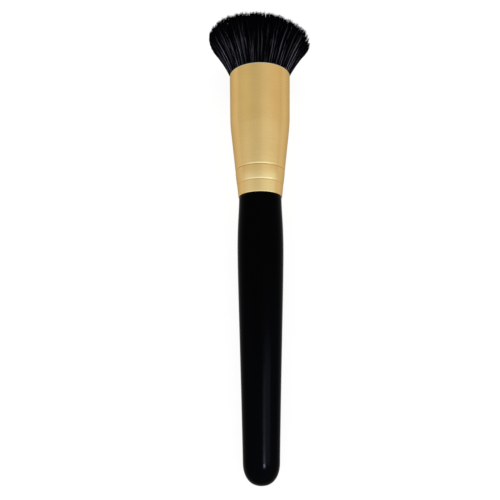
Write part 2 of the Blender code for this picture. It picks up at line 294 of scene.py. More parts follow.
def tenon_profile():
    """The tenon from its flat top down to its shoulder, with its glue grooves."""
    side_top = TENON_LENGTH - TENON_CHAMFER
    heights = np.linspace(side_top, 0.0, TENON_POINTS)
    side = []
    for height in heights:
        dips = sum(cosine_dip(height, groove, GROOVE_HALF_WIDTH, GROOVE_DEPTH) for groove in GROOVE_HEIGHTS)
        side.append((TENON_RADIUS - dips, HANDLE_LENGTH + height))
    tenon_top = HANDLE_LENGTH + TENON_LENGTH
    return [(0.0, tenon_top), (TENON_RADIUS - TENON_CHAMFER, tenon_top)] + side


def round_end_profile():
    """A superellipse from the end of the taper to the axis. A fullness of 2 would be an ellipse."""
    power = 2 / END_FULLNESS
    angles = np.linspace(0.0, math.pi / 2, END_POINTS)[:-1]
    radii = [HANDLE_END_RADIUS * math.cos(angle) ** power for angle in angles]
    heights = [ROUND_END_LENGTH * (1 - math.sin(angle) ** power) for angle in angles]
    return list(zip(radii, heights)) + [(0.0, 0.0)]


neck_top = HANDLE_LENGTH - SEAT_GAP / 4
neck_span = neck_top - SWELL_HEIGHT
neck = curve_profile(
    (NECK_RADIUS, neck_top),
    (NECK_RADIUS, neck_top - neck_span * NECK_TOP_SHARE),
    (SWELL_RADIUS, SWELL_HEIGHT + neck_span * NECK_SWELL_SHARE),
    (SWELL_RADIUS, SWELL_HEIGHT),
    NECK_STEPS,
)
taper_span = SWELL_HEIGHT - ROUND_END_LENGTH
taper_rise = SWELL_RADIUS - HANDLE_END_RADIUS
taper = curve_profile(
    (SWELL_RADIUS, SWELL_HEIGHT),
    (SWELL_RADIUS, SWELL_HEIGHT - taper_span * TAPER_SWELL_SHARE),
    (HANDLE_END_RADIUS + taper_rise * TAPER_RISE_SHARE, ROUND_END_LENGTH + taper_span * TAPER_END_SHARE),
    (HANDLE_END_RADIUS, ROUND_END_LENGTH),
    TAPER_STEPS,
)
handle_profile = tenon_profile() + neck + taper[1:] + round_end_profile()[1:]

handle = turn_profile("lacquered_handle", handle_profile, lacquer)
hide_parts("handle")

# %% [markdown]
# ## Pale gold aluminium
#
# The ferrule is aluminium tube, spun to shape, blasted to a satin and then anodised and dyed gold.
# The dye sits in a clear oxide skin over bright metal, so this is a metal with a warm base colour
# and a broad, soft highlight. Spinning leaves rings far finer than a pixel. They are drawn half a
# millimetre apart here, just strong enough to be felt in a close view. The last half millimetre
# under the mouth is painted paler and greyer, a painted highlight for the thin light line on the lip.


# %% Gold
CLOUDS_PER_METRE = 120.0
RINGS_PER_METRE = 2000.0
RING_STRETCH = 40.0
# Painted highlight: how far under the mouth the paler, greyer colour reaches, and how strongly.
LIP_HIGHLIGHT_STARTS, LIP_HIGHLIGHT_ENDS = 0.00055, 0.00020
LIP_HIGHLIGHT_SHARE = 0.8


def make_gold():
    material, tree, shader = start_material(
        "anodised_gold_aluminium", Metallic=1.0, Specular_Tint=linear_colour("#CBC3B3")
    )
    clouds = add_node(
        tree,
        "ShaderNodeTexNoise",
        {"Scale": CLOUDS_PER_METRE, "Detail": 2.0},
        {"Vector": add_brush_coordinates(tree)},
    )
    dye = add_node(tree, "ShaderNodeValToRGB", {}, {"Fac": clouds.outputs["Fac"]})
    dye.color_ramp.elements[0].position = 0.35
    dye.color_ramp.elements[0].color = linear_colour("#CFAC6F")
    dye.color_ramp.elements[1].position = 0.65
    dye.color_ramp.elements[1].color = linear_colour("#D3B072")
    height = add_node(tree, "ShaderNodeSeparateXYZ", {}, {"Vector": add_brush_coordinates(tree)})
    # Painted highlight: the colour turns paler and greyer on the last half millimetre under the mouth.
    lip_highlight_range = {"From Min": mouth_height - LIP_HIGHLIGHT_STARTS, "From Max": mouth_height - LIP_HIGHLIGHT_ENDS}
    lip_highlight = add_node(
        tree,
        "ShaderNodeMapRange",
        {**lip_highlight_range, "To Max": LIP_HIGHLIGHT_SHARE},
        {"Value": height.outputs["Z"]},
    )
    dye_with_lip_highlight = add_node(
        tree,
        "ShaderNodeMix",
        {"data_type": "RGBA", 7: linear_colour("#C4BCA4")},
        {0: lip_highlight.outputs["Result"], 6: dye.outputs["Color"]},
    )
    tree.links.new(dye_with_lip_highlight.outputs[2], shader.inputs["Base Color"])
    rings = add_node(
        tree,
        "ShaderNodeTexNoise",
        {"Scale": RINGS_PER_METRE, "Detail": 2.0},
        {"Vector": add_brush_coordinates(tree, (RING_STRETCH, RING_STRETCH, 1.0))},
    )
    satin = add_node(
        tree,
        "ShaderNodeMapRange",
        {"From Min": 0.3, "From Max": 0.7, "To Min": 0.24, "To Max": 0.28},
        {"Value": rings.outputs["Fac"]},
    )
    tree.links.new(satin.outputs["Result"], shader.inputs["Roughness"])
    relief = add_node(
        tree, "ShaderNodeBump", {"Strength": 0.03, "Distance": 0.00002}, {"Height": rings.outputs["Fac"]}
    )
    tree.links.new(relief.outputs["Normal"], shader.inputs["Normal"])
    return material


gold = make_gold()
print("material:", gold.name)

# %% [markdown]
# ## The ferrule
#
# Its outside is a cone that turns softly into an almost straight barrel. Near the foot, two narrow
# rings are rolled in to grip the handle. Each has a steep upper flank and a longer lower one, so a
# bright line and a dark one lie side by side. The band between the rings bulges by less than a tenth
# of a millimetre. The last half millimetre under the mouth is burnished in by a hair, and both rims
# are rounded over the thickness of the wall.

# %% Ferrule
FERRULE_WALL = 0.0004
FOOT_RADIUS = 0.0077
KNEE_HEIGHT = 0.0275
KNEE_RADIUS = 0.01076
KNEE_ROUNDING = 0.0003
MOUTH_RADIUS = 0.01106
CRIMP_HEIGHTS = (0.00456, 0.00983)
CRIMP_DEPTHS = (0.00013, 0.00022)
CRIMP_UPPER_WIDTH = 0.00034
CRIMP_LOWER_WIDTH = 0.00042
BAND_BULGE = 0.00007
RIM_LENGTH = 0.00045
RIM_DEPTH = 0.00004
LIP_HEIGHT = 0.00008
LIP_STEPS = 8
CRIMPED_LENGTH = 0.0125
CRIMPED_STEP, PLAIN_STEP = 0.00025, 0.0007
CRIMP_POINTS, RIM_POINTS = 25, 9


def ferrule_outside(height):
    """The outer radius at a height: cone or barrel, whichever is smaller, less the crimps."""
    cone_slope = (KNEE_RADIUS - FOOT_RADIUS) / KNEE_HEIGHT
    barrel_slope = (MOUTH_RADIUS - KNEE_RADIUS) / (FERRULE_LENGTH - KNEE_HEIGHT)
    cone = KNEE_RADIUS + (height - KNEE_HEIGHT) * cone_slope
    barrel = KNEE_RADIUS + (height - KNEE_HEIGHT) * barrel_slope
    blend = max(KNEE_ROUNDING - abs(cone - barrel), 0.0) / KNEE_ROUNDING
    radius = min(cone, barrel) - blend * blend * KNEE_ROUNDING / 4
    for centre, depth in zip(CRIMP_HEIGHTS, CRIMP_DEPTHS):
        flank = CRIMP_UPPER_WIDTH if height > centre else CRIMP_LOWER_WIDTH
        radius -= cosine_dip(height, centre, flank, depth)
    band_share = (height - CRIMP_HEIGHTS[0]) / (CRIMP_HEIGHTS[1] - CRIMP_HEIGHTS[0])
    if 0.0 < band_share < 1.0:
        radius += BAND_BULGE * math.sin(math.pi * band_share)
    rim_share = max(height - FERRULE_LENGTH + RIM_LENGTH, 0.0) / RIM_LENGTH
    return radius - RIM_DEPTH * rim_share**2


def ferrule_heights():
    """Where the outside is sampled: closely at the crimps, less so above them."""
    heights = list(np.arange(0.0, CRIMPED_LENGTH, CRIMPED_STEP))
    heights += list(np.arange(CRIMPED_LENGTH, FERRULE_LENGTH, PLAIN_STEP))
    for centre in CRIMP_HEIGHTS:
        heights += list(np.linspace(centre - CRIMP_LOWER_WIDTH, centre + CRIMP_UPPER_WIDTH, CRIMP_POINTS))
    heights += list(np.linspace(FERRULE_LENGTH - RIM_LENGTH, FERRULE_LENGTH, RIM_POINTS))
    return sorted(height for height in set(heights) if LIP_HEIGHT < height < FERRULE_LENGTH - LIP_HEIGHT)


def lip_arc(height, start_angle):
    """Half an ellipse that rounds a rim over the thickness of the wall."""
    half_wall = FERRULE_WALL / 2
    inward = LIP_HEIGHT if height == 0.0 else -LIP_HEIGHT
    middle_radius = ferrule_outside(height) - half_wall
    angles = [start_angle + math.pi * step / LIP_STEPS for step in range(LIP_STEPS + 1)]
    radii = [middle_radius + half_wall * math.cos(angle) for angle in angles]
    places = [height + inward + LIP_HEIGHT * math.sin(angle) for angle in angles]
    return [(radius, HANDLE_LENGTH + place) for radius, place in zip(radii, places)]


outer_side = [(ferrule_outside(height), HANDLE_LENGTH + height) for height in ferrule_heights()]
inner_side = [(radius - FERRULE_WALL, place) for radius, place in outer_side]
ferrule_ring = outer_side + lip_arc(FERRULE_LENGTH, 0.0) + inner_side[::-1] + lip_arc(0.0, math.pi)
ferrule = turn_profile("gold_ferrule", ferrule_ring, gold, closed=True)
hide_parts("ferrule")

# %% [markdown]
# ## What the ferrule hides
#
# Epoxy holds the tenon, resin holds the roots of the bristles, and a waxed thread kept the bundle
# round while the resin was poured. Their CAD shapes are right as they are, so they only get finishes:
# a cloudy amber, a dark cast resin, and a waxed cotton.


# %% Finishes for the hidden pieces
def make_mottled(name, dark, light, clouds_per_metre, relief_depth, **sockets):
    """Two close colours in clouds, so many to a metre, and a relief of the same pattern."""
    material, tree, shader = start_material(name, **sockets)
    clouds = add_node(
        tree,
        "ShaderNodeTexNoise",
        {"Scale": clouds_per_metre, "Detail": 3.0},
        {"Vector": add_brush_coordinates(tree)},
    )
    ramp = add_node(tree, "ShaderNodeValToRGB", {}, {"Fac": clouds.outputs["Fac"]})
    ramp.color_ramp.elements[0].position = 0.35
    ramp.color_ramp.elements[0].color = linear_colour(dark)
    ramp.color_ramp.elements[1].position = 0.65
    ramp.color_ramp.elements[1].color = linear_colour(light)
    tree.links.new(ramp.outputs["Color"], shader.inputs["Base Color"])
    relief = add_node(
        tree,
        "ShaderNodeBump",
        {"Strength": 0.5, "Distance": relief_depth},
        {"Height": clouds.outputs["Fac"]},
    )
    tree.links.new(relief.outputs["Normal"], shader.inputs["Normal"])
    return material


hidden_finishes = {
    "glue_collar": make_mottled(
        "cured_epoxy", "#C9B486", "#DDCB9F", 900.0, 0.00003, Roughness=0.25, Transmission_Weight=0.3
    ),
    "root_plug": make_mottled("cast_root_resin", "#2B2520", "#3A322A", 1200.0, 0.00004, Roughness=0.22),
    "binding_thread": make_mottled("waxed_cotton", "#B9AE92", "#D3C9AE", 4000.0, 0.00008, Roughness=0.8),
}
for node_name, finish in hidden_finishes.items():
    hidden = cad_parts[node_name]
    hidden.data.materials.clear()
    hidden.data.materials.append(finish)
    print("finish:", node_name, "->", finish.name)

# %% [markdown]
# ## Black bristle
#
# The bristles are extruded polyester, dyed black through and tapered at the tip in a chemical bath.
# They have a slight sheen along their length. Where two or three of them stand a little proud they
# catch the light as a thin grey-violet streak, and the streak dies away where the tips taper. Here
# those streaks are painted highlights: each bristle carries an attribute from 0 to 1 that picks its
# base colour from a ramp between black and a pale grey-violet. The streaks come from that painted
# colour alone, so the material has hardly any gloss of its own.


# %% Bristle material
def make_bristle_material(name):
    material, tree, shader = start_material(name, Roughness=0.45, Specular_IOR_Level=0.010)
    painted_catch_light = add_node(tree, "ShaderNodeAttribute", {"attribute_name": "painted_catch_light"})
    ramp = add_node(tree, "ShaderNodeValToRGB", {}, {"Fac": painted_catch_light.outputs["Fac"]})
    ramp.color_ramp.elements[0].color = linear_colour("#010102")
    # Painted highlight: the pale end of the ramp is the streak of light, painted into the base colour.
    ramp.color_ramp.elements[1].color = linear_colour("#C4C4D6")
    tree.links.new(ramp.outputs["Color"], shader.inputs["Base Color"])
    return material


bristle_material = make_bristle_material("black_polyester_bristle")
print("material:", bristle_material.name)

# %% [markdown]
# ## Where the bristles go
#
# A real tuft is a packed bundle that flares as it leaves the ferrule and is trimmed flat, with its
# edge rounded over. So the plan starts as a flat disc of evenly spread points, a sunflower pattern.
# Each point's share of the disc's radius stays with its bristle: the disc grows with height, and the
# bristle leans out with it. Neighbours cling together, two or three in a wisp and a dozen in a lock.
#
# Every random number comes from one generator, so each run grows the same tuft. Its seed is one of
# thirteen that were tried, and the one whose streaks came nearest to the photograph's in brightness.

# %% Plan of the tuft: shares of the disc, wisps and locks
SECTORS = 6
BRISTLES_PER_SECTOR = 4096
BRISTLES = SECTORS * BRISTLES_PER_SECTOR
WISPS = 11000
LOCKS = 2000
LOCK_GROUPS = 500
GOLDEN_ANGLE = math.pi * (3 - math.sqrt(5))
PLAN_SCATTER = 0.35
SEED = 3

chance = np.random.default_rng(SEED)


def sunflower(count):
    """Points spread evenly over a disc of radius 1, as rows of x and y."""
    order = np.arange(count)
    share = np.sqrt((order + 0.5) / count)
    return np.stack([share * np.cos(order * GOLDEN_ANGLE), share * np.sin(order * GOLDEN_ANGLE)], axis=1)


def scattered_plan(count):
    """A sunflower plan whose points are nudged at random by a share of their spacing."""
    return sunflower(count) + chance.normal(0.0, PLAN_SCATTER / math.sqrt(count), (count, 2))


def nearest(plan, centres):
    """For each point of a plan, the index of the nearest centre."""
    tree = kdtree.KDTree(len(centres))
    for index, (x, y) in enumerate(centres):
        tree.insert((x, y, 0.0), index)
    tree.balance()
    return np.array([tree.find((x, y, 0.0))[1] for x, y in plan])


root_plan = sunflower(BRISTLES)
disc_share = np.hypot(root_plan[:, 0], root_plan[:, 1])
lock_plan = scattered_plan(LOCKS)
lock_of = nearest(root_plan, lock_plan)
wisp_plan = scattered_plan(WISPS)
wisp_of = nearest(root_plan, wisp_plan)
group_of = nearest(lock_plan, scattered_plan(LOCK_GROUPS))
print(f"{BRISTLES} bristles, {BRISTLES / WISPS:.1f} to a wisp and {BRISTLES / LOCKS:.1f} to a lock")

# %% [markdown]
# ## How long they are
#
# The crown is flat and drops at its edge, and the cut falls off a little to the right. Each lock has
# a length of its own, partly shared with the locks round it. It also comes to a point, because its
# outer bristles end lower, which gives the crown its spikes. A few locks stand tall, and a few
# bristles stray past the rest.

# %% Height of each tip above the mouth
TRIM = 0.0005
CROWN_DROP = 0.0014
CROWN_POWER = 9
CUT_SLOPE = 0.075
LOCK_POINT = 0.0005
LOCK_POINT_REACH = 1.3
LOCK_RADIUS = 1 / math.sqrt(LOCKS)
LOCK_PULL = (0.5, 0.9)
LOCK_LENGTH_SCATTER = 0.00028
GROUP_LENGTH_SCATTER = 0.00014
BRISTLE_LENGTH_SCATTER = 0.00008
LOCK_LENGTH_LIMIT = 0.0003
TALL_LOCK_SHARE = 0.05
TALL_LOCK_EXTRA = (0.0003, 0.0011)
TALL_LOCK_POWER = 8
STRAY_SHARE = 0.014
STRAY_EXTRA = (0.0002, 0.0009)

lock_pull = chance.uniform(*LOCK_PULL, LOCKS)
lock_length = chance.normal(0.0, LOCK_LENGTH_SCATTER, LOCKS)
lock_length += chance.normal(0.0, GROUP_LENGTH_SCATTER, LOCK_GROUPS)[group_of]
lock_length = np.minimum(lock_length, LOCK_LENGTH_LIMIT)
tall = chance.random(LOCKS) < TALL_LOCK_SHARE
rimward = np.hypot(*lock_plan[tall].T) ** TALL_LOCK_POWER
lock_length[tall] += chance.uniform(*TALL_LOCK_EXTRA, tall.sum()) * (1 - rimward)

tip_height = TUFT_HEIGHT - TRIM - CROWN_DROP * disc_share**CROWN_POWER
tip_height -= CUT_SLOPE * TUFT_RADIUS * root_plan[:, 0]
off_lock = np.hypot(*(lock_plan[lock_of] - root_plan).T) / LOCK_RADIUS
tip_height -= LOCK_POINT * np.minimum(off_lock, LOCK_POINT_REACH)
tip_height += lock_length[lock_of] - np.abs(chance.normal(0.0, BRISTLE_LENGTH_SCATTER, BRISTLES))
strays = chance.random(BRISTLES) < STRAY_SHARE
tip_height[strays] += chance.uniform(*STRAY_EXTRA, strays.sum())
print(f"{tall.sum()} tall locks and {strays.sum()} strays")

# %% [markdown]
# ## The path of each bristle
#
# Every bristle is followed at eight stations from a root just inside the ferrule to its tip. At each
# one the disc's radius comes from the height. The lock and the wisp pull the bristle towards their
# middles, a slow random wave keeps neighbours from running quite parallel, and the whole tuft leans
# a little to the right. The radius of the bristle shrinks at its tip.

# %% Stations, and the disc that grows with height
STATIONS = np.array([0.0, 0.15, 0.34, 0.53, 0.71, 0.86, 0.96, 1.0])
BRISTLE_RADII = np.array([0.062, 0.062, 0.062, 0.062, 0.061, 0.059, 0.050, 0.0]) * MM
ROOT_DEPTH = 0.0010
BUNDLE_RADIUS = 0.01045
FLARE = 0.40
FLARE_GROWTH = 15.5
RIM_BULGE = 0.00040
RIM_BULGE_HEIGHT = 0.0008

heights = -ROOT_DEPTH + STATIONS[None, :] * (tip_height[:, None] + ROOT_DEPTH)
above = np.maximum(heights, 0.0)
rise = above / TUFT_HEIGHT
disc_radius = BUNDLE_RADIUS + FLARE * above + FLARE_GROWTH * above**2
disc_radius += RIM_BULGE * (1 - np.exp(-above / RIM_BULGE_HEIGHT))
print("the disc grows to a radius in mm of", round(float(disc_radius.max()) * 1000, 2))

# %% Sway, lean, and the pull of locks and wisps
SWAY = 0.032
SWAY_RATE = (5.0, 14.0)
SWAY_SIZE = (0.2, 1.0)
BOB = 0.006
LEAN = 0.027
LOCK_PULL_POWER = 1.3
WISP_PULL = 0.25
WISP_CLOSED_AT = 0.25


def by_wisp(low, high):
    """A random number for each wisp, handed on to all its bristles."""
    return chance.uniform(low, high, (WISPS, 1))[wisp_of]


sway_start = by_wisp(0.0, math.tau)
sway_turn = sway_start + rise * by_wisp(*SWAY_RATE)
sway_size = by_wisp(*SWAY_SIZE) * np.sqrt(rise)
sway = SWAY * sway_size * np.cos(sway_turn)
bob = BOB * sway_size * np.sin(sway_turn)

lock_share = lock_pull[lock_of][:, None] * rise**LOCK_PULL_POWER
wisp_share = WISP_PULL * np.minimum(rise / WISP_CLOSED_AT, 1.0)
to_lock = (lock_plan[lock_of] - root_plan)[:, None, :] * lock_share[:, :, None]
to_wisp = (wisp_plan[wisp_of] - root_plan)[:, None, :] * wisp_share[:, :, None]
plan = root_plan[:, None, :] + to_lock + to_wisp
outward = root_plan / disc_share[:, None]
plan_x = plan[..., 0] + bob * outward[:, 0:1] - sway * outward[:, 1:2] + LEAN * rise
plan_y = plan[..., 1] + bob * outward[:, 1:2] + sway * outward[:, 0:1]
print("largest sway in mm:", round(float((np.abs(sway) * disc_radius).max()) * 1000, 2))

# %% [markdown]
# ## The widest bristles
#
# The flare would carry the outermost bristles past the tuft's real width. The photograph's outline
# runs almost straight up there, so each path is drawn in where it would leave a circle. The circle
# stands a fifth of a millimetre to the right of the axis. Its size differs a little from wisp to
# wisp, and some wisps on the left flick outwards at their tips.

# %% Hold the paths in
WIDEST_RADIUS = 0.01878
WIDEST_SCATTER = 0.0004
SIDE_SHIFT = 0.00022
SIDE_SHIFT_BY = 0.5
LEFT_FLICK = 0.0005
FLICK_START = 0.7

wisp_hold = by_wisp(0.0, 1.0)
widest = WIDEST_RADIUS - WIDEST_SCATTER * wisp_hold**2
at_tip = np.clip((rise - FLICK_START) / (1 - FLICK_START), 0.0, 1.0)
widest = widest + LEFT_FLICK * (1 - wisp_hold) ** 2 * (root_plan[:, 0:1] < 0) * at_tip
side = SIDE_SHIFT * np.minimum(rise / SIDE_SHIFT_BY, 1.0)
reach = np.hypot(disc_radius * plan_x - side, disc_radius * plan_y)
held_in = np.minimum(1.0, widest / np.maximum(reach, MM))
path_x = side + held_in * (disc_radius * plan_x - side)
paths = np.stack([path_x, held_in * disc_radius * plan_y, mouth_height + heights], axis=2)
print("widest bristle in mm:", round(float(np.hypot(paths[..., 0], paths[..., 1]).max()) * 1000, 2))

# %% [markdown]
# ## Which bristles get a painted highlight
#
# The streaks are painted highlights. They run up the tuft in narrow lines, spread round it almost
# evenly. A wisp that stands in line with one takes that line's brightness, and a few wisps between
# them have a streak of their own. The lines stand further apart at the two sides, where the view
# squeezes them together, and are painted brighter there, where low lamps graze the sides. Along a
# wisp the painted light is a soft glint at a height of its own, and it fades out towards the tip.

# %% Painted brightness of the lines and of each wisp
LINES = 64
LINE_JITTER = 0.35
LINE_HALF_WIDTH = 0.0115
LINE_LIGHT, LINE_LIGHT_POWER = (0.3, 1.0), 1.3
LINE_WISP_LIGHT = (0.5, 1.0)
LOOSE_STREAK_SHARE = 0.05
LOOSE_LIGHT, LOOSE_LIGHT_POWER = (0.1, 0.7), 1.5
FAINTEST_LIGHT = 0.008
SIDE_SPREAD = 0.15
FRONT_LIGHT, SIDE_LIGHT, SIDE_LIGHT_POWER = 0.25, 0.70, 1.5

line_jitter = chance.uniform(-LINE_JITTER, LINE_JITTER, LINES)
even_turn = (np.arange(LINES) + line_jitter) / LINES * math.tau
line_turn = (even_turn + SIDE_SPREAD * np.sin(2 * even_turn)) % math.tau
line_light = chance.uniform(*LINE_LIGHT, LINES) ** LINE_LIGHT_POWER
wisp_turn = np.arctan2(wisp_plan[:, 1], wisp_plan[:, 0]) % math.tau
off_line = np.abs(wisp_turn[:, None] - line_turn[None, :])
on_line = off_line.min(axis=1) < LINE_HALF_WIDTH
wisp_light = on_line * line_light[off_line.argmin(axis=1)] * chance.uniform(*LINE_WISP_LIGHT, WISPS)
loose = chance.random(WISPS) < LOOSE_STREAK_SHARE
wisp_light = np.maximum(wisp_light, loose * chance.uniform(*LOOSE_LIGHT, WISPS) ** LOOSE_LIGHT_POWER)
wisp_light += chance.uniform(0.0, FAINTEST_LIGHT, WISPS)
# Painted light: wisps at the two sides are painted brighter than those at the front and back.
sideways = np.abs(wisp_plan[:, 0]) / np.hypot(*wisp_plan.T)
own_light = (wisp_light * (FRONT_LIGHT + SIDE_LIGHT * sideways**SIDE_LIGHT_POWER))[wisp_of]
print(f"{on_line.sum()} wisps stand in line, and {loose.sum()} have a streak of their own")

# %% Course of the painted light along each bristle
FADE_START, FADE_END = 0.25, 0.90
GLINT_MIDDLE = (-0.1, 0.65)
GLINT_REACH = (0.12, 0.4)

fade = np.clip((FADE_END - rise) / (FADE_END - FADE_START), 0.0, 1.0)
glint_middle = by_wisp(*GLINT_MIDDLE)
glint_reach = by_wisp(*GLINT_REACH)
glint = np.exp(-(((rise - glint_middle) / glint_reach) ** 2))
# Painted highlight: this is the brightness that each bristle's colour is painted with.
painted_catch_light = own_light[:, None] * glint * fade * fade * (3 - 2 * fade)
print("brightest catch light:", round(float(painted_catch_light.max()), 2))

# %% [markdown]
# ## One bristle, copied
#
# All bristles have the same topology: a three-sided tube that ends in a point. One is made upright
# with bmesh, its stations a metre apart, and the copies are made by doubling: twelve doublings give
# 4096. The copies lie in the same place and differ only by a number. That number looks up where
# each of them really goes, so the mesh is bent into shape by arithmetic on whole arrays. A tube has
# only a few dozen faces, so even so many bristles stay light.


# %% Bundle of copies
SIDES = 3


def make_bristle_bundle(count):
    """A mesh of upright unit bristles, told apart by the attribute named bristle."""
    bm = bmesh.new()
    number = bm.verts.layers.int.new("bristle")
    bmesh.ops.create_circle(bm, cap_ends=True, segments=SIDES, radius=1.0)
    top = bm.faces[:]
    for _ in STATIONS[1:]:
        top = bmesh.ops.extrude_discrete_faces(bm, faces=top)["faces"]
        bmesh.ops.translate(bm, verts=top[0].verts[:], vec=(0.0, 0.0, 1.0))
    bmesh.ops.pointmerge(bm, verts=top[0].verts[:], merge_co=(0.0, 0.0, len(STATIONS) - 1))
    open_edges = [edge for edge in bm.edges if edge.is_boundary]
    bmesh.ops.holes_fill(bm, edges=open_edges, sides=SIDES)
    bmesh.ops.recalc_face_normals(bm, faces=bm.faces[:])
    made = 1
    while made < count:
        copies = bmesh.ops.duplicate(bm, geom=bm.verts[:] + bm.edges[:] + bm.faces[:])["geom"]
        for item in copies:
            if isinstance(item, bmesh.types.BMVert):
                item[number] += made
        made *= 2
    mesh = bpy.data.meshes.new("bristle_bundle")
    bm.to_mesh(mesh)
    bm.free()
    return mesh


bundle = make_bristle_bundle(BRISTLES_PER_SECTOR)
print(f"bundle: {len(bundle.polygons)} faces for {BRISTLES_PER_SECTOR} bristles")

# %% [markdown]
# ## Bending the copies into place
#
# A bristle's cross-section stands square to its path. Two directions across the path are enough:
# one from the path and a fixed random direction, the other from the path and the first.


# %% Sections of the tuft
LOWEST_BRISTLE = 0.00012


def lay_down(points):
    """Takes points from beside the upright brush to where the brush lies, clear of the table."""
    turn = np.array(BRUSH.to_3x3())
    laid = points @ turn.T + np.array(BRUSH_PLACE)
    laid[:, 2] = np.maximum(laid[:, 2], LOWEST_BRISTLE)
    return laid


def make_tuft_section(name, members):
    """The bristles in members as one piece."""
    mesh = bundle.copy()
    mesh.name = name
    count = len(mesh.vertices)
    unit = np.zeros(count * 3, np.float32)
    mesh.vertices.foreach_get("co", unit)
    unit = unit.reshape(-1, 3)
    number = np.zeros(count, np.int32)
    mesh.attributes["bristle"].data.foreach_get("value", number)
    station = np.rint(unit[:, 2]).astype(int)

    path = paths[members]
    along = np.gradient(path, axis=1)
    along /= np.linalg.norm(along, axis=2, keepdims=True)
    angle = chance.uniform(0.0, math.tau, len(members))
    across = np.stack([np.cos(angle), np.sin(angle), np.zeros(len(members))], axis=1)[:, None, :]
    first = np.cross(along, np.broadcast_to(across, along.shape))
    first /= np.linalg.norm(first, axis=2, keepdims=True)
    second = np.cross(along, first)

    radius = BRISTLE_RADII[station][:, None]
    spread = unit[:, 0:1] * first[number, station] + unit[:, 1:2] * second[number, station]
    places = lay_down(path[number, station] + radius * spread)
    mesh.vertices.foreach_set("co", places.astype(np.float32).ravel())
    mesh.attributes.remove(mesh.attributes["bristle"])
    # Painted highlight: each point keeps its share of the painted streak light.
    light = mesh.attributes.new("painted_catch_light", "FLOAT", "POINT")
    light.data.foreach_set("value", painted_catch_light[members][number, station].astype(np.float32))
    mesh.update()
    mesh.shade_smooth()
    mesh.materials.append(bristle_material)
    piece = bpy.data.objects.new(name, mesh)
    bpy.context.scene.collection.objects.link(piece)
    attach(piece, "root")
    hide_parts("bristle_tuft")
    print(f"{name}: {len(members)} bristles")
    return piece


by_angle = np.argsort(np.arctan2(root_plan[:, 1], root_plan[:, 0]), kind="stable")
tuft_sections = [
    make_tuft_section(f"tuft_section_{sector + 1}", members)
    for sector, members in enumerate(np.split(by_angle, SECTORS))
]
bpy.data.meshes.remove(bundle)

# %% [markdown]
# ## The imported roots
#
# Inside the ferrule the bundle is so tight that it is one dark mass. It is a turned plug with a
# domed top, and it fills the tube from the root resin up to the mouth.

# %% Root bundle
BUNDLE_FOOT = HANDLE_LENGTH + 0.0293
BUNDLE_TOP = mouth_height - 0.0002
DOME_RADIUS, DOME_DROP = 0.0090, 0.0003
SHOULDER_RADIUS, SHOULDER_DROP = 0.0101, 0.0012
BUNDLE_SIDE_RADIUS = 0.0102
BUNDLE_WAIST_RADIUS = 0.0100
BUNDLE_FOOT_RADIUS, BUNDLE_FOOT_ROUNDING = 0.0096, 0.0004

roots = turn_profile(
    "packed_roots",
    [
        (0.0, BUNDLE_TOP),
        (DOME_RADIUS, BUNDLE_TOP),
        (SHOULDER_RADIUS, BUNDLE_TOP - DOME_DROP),
        (BUNDLE_SIDE_RADIUS, BUNDLE_TOP - SHOULDER_DROP),
        (BUNDLE_WAIST_RADIUS, BUNDLE_FOOT + BUNDLE_FOOT_ROUNDING),
        (BUNDLE_FOOT_RADIUS, BUNDLE_FOOT),
        (0.0, BUNDLE_FOOT),
    ],
    bristle_material,
)
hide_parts("bristle_tuft")

# %% [markdown]
# ## Table
#
# The photograph was taken over a white sweep. A white table would throw light back on the brush and
# still need more lamps to look white. So the table is a grey matt sheet that glows, but only to the
# camera and in reflections: it looks white, its glow lights nothing, and the shadow stays on it.

# %% Table
FLOOR_SIZE = 3.0
TABLE_GLOW = 0.88


def background_rays(tree):
    """1 for what the camera, a reflection or a clear piece sees, and 0 for light on a surface."""
    path = add_node(tree, "ShaderNodeLightPath")
    seen = add_node(
        tree,
        "ShaderNodeMath",
        {"operation": "MAXIMUM"},
        {0: path.outputs["Is Camera Ray"], 1: path.outputs["Is Glossy Ray"]},
    )
    return add_node(
        tree,
        "ShaderNodeMath",
        {"operation": "MAXIMUM"},
        {0: seen.outputs[0], 1: path.outputs["Is Transmission Ray"]},
    ).outputs[0]


def make_table_material():
    material, tree, shader = start_material(
        "matt_white_table", Base_Color=linear_colour("#7C7C7C"), Roughness=0.9, Specular_IOR_Level=0.0
    )
    shader.inputs["Emission Color"].default_value = (1.0, 1.0, 1.0, 1.0)
    glow = add_node(
        tree, "ShaderNodeMath", {"operation": "MULTIPLY", 1: TABLE_GLOW}, {0: background_rays(tree)}
    )
    tree.links.new(glow.outputs[0], shader.inputs["Emission Strength"])
    return material


table_bm = bmesh.new()
bmesh.ops.create_grid(table_bm, x_segments=1, y_segments=1, size=FLOOR_SIZE / 2)
table_mesh = bpy.data.meshes.new("table")
table_bm.to_mesh(table_mesh)
table_bm.free()
table_mesh.materials.append(make_table_material())
table = bpy.data.objects.new("table", table_mesh)
bpy.context.scene.collection.objects.link(table)

# %% [markdown]
# ## The light tent
#
# Satin metal is a mirror out of focus, so the ferrule's bands of light are a blurred picture of what
# stands round it. The world is that picture. A ramp runs round the brush, from -180 to 180 degrees
# with straight above at 0: one for the tent's neutral wall, and one for the cool window over the
# handle's end. A third ramp, along the brush, dims both, and closes the tent beyond the tuft. Only
# reflections see the tent. The camera sees white, and surfaces get one even, plain level of light.

